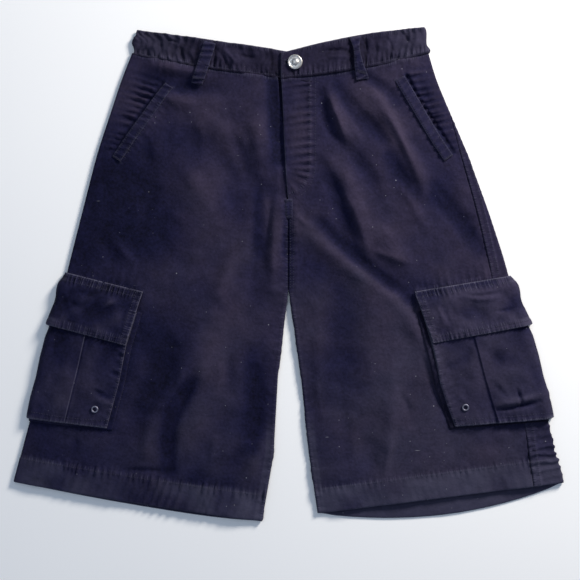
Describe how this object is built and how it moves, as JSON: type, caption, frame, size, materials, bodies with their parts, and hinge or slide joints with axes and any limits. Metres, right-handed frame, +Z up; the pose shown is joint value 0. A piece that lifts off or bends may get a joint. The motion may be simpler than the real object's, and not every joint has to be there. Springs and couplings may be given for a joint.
{
  "type": "cargo shorts",
  "caption": "Knee-length cotton twill cargo shorts laid flat front up, with elasticated waistband, fly, slant pockets and flapped bellows pockets.",
  "frame": {"origin": "middle of the garment's box, on the surface it lies on", "axes": "+Z up off the surface, +Y towards the waist, +X towards the wearer's left leg"},
  "size_m": [0.626, 0.5614, 0.0162],
  "materials": {
    "twill": "navy cotton twill, washed, soft matt",
    "twill_trim": "navy cotton twill, doubled and topstitched, slightly worn edges",
    "twill_inside": "navy cotton twill in shade",
    "zip_tape": "dark woven tape",
    "button_metal": "worn nickel plate",
    "eyelet_metal": "dark enamelled metal, rubbed at the rim"
  },
  "bodies": {
    "root": {"front_left": "twill", "front_right": "twill", "back_left": "twill", "back_right": "twill", "waistband_left": "twill_trim", "waistband_right": "twill_trim", "waistband_back": "twill_trim", "button": "button_metal", "fly_shield": "twill_inside", "fly_zip": "zip_tape", "fly_tuck": "twill_trim", "belt_loop_left": "twill_trim", "belt_loop_right": "twill_trim", "welt_left": "twill_trim", "welt_right": "twill_trim", "gusset_left": "twill", "gusset_right": "twill", "pocket_left": "twill", "pocket_right": "twill", "flap_left": "twill_trim", "flap_right": "twill_trim", "eyelet_left": "eyelet_metal", "eyelet_right": "eyelet_metal"}
  },
  "joints": []
}
